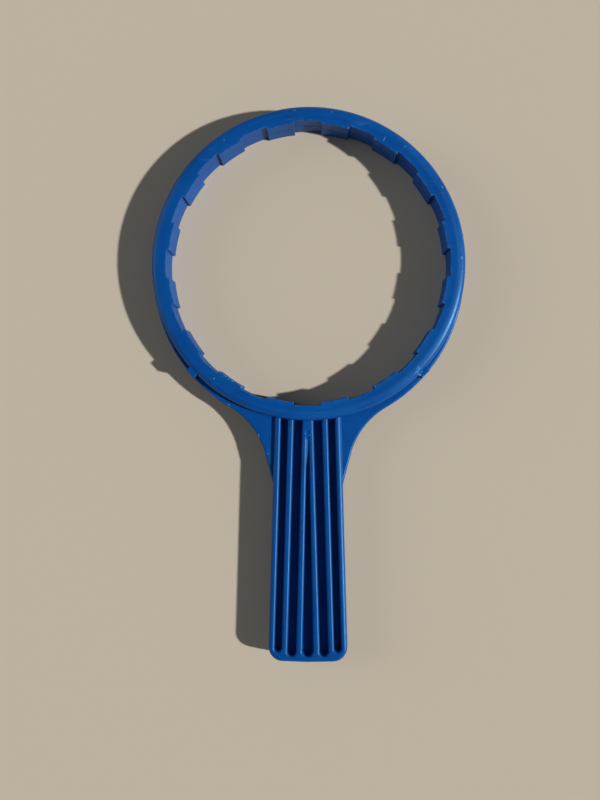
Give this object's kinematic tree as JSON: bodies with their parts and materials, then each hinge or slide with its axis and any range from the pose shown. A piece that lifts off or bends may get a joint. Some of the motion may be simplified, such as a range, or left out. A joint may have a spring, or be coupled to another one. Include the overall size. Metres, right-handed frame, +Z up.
{
  "type": "filter housing wrench",
  "caption": "Flat one-piece plastic wrench: a toothed ring that grips the ribs of a filter housing, with a ribbed, slightly fanned handle.",
  "frame": {"origin": "on the ring's axis, in the plane of the ring's underside", "axes": "+Z up along the ring's axis, -Y along the handle towards its free end, +X across the handle"},
  "size_m": [0.14, 0.2481, 0.016],
  "materials": {
    "blue_plastic": "satin injection-moulded plastic, blue all through, with fine scuffs on the faces and small nicks on the rim"
  },
  "bodies": {
    "root": {"wrench_body": "blue_plastic"}
  },
  "joints": []
}
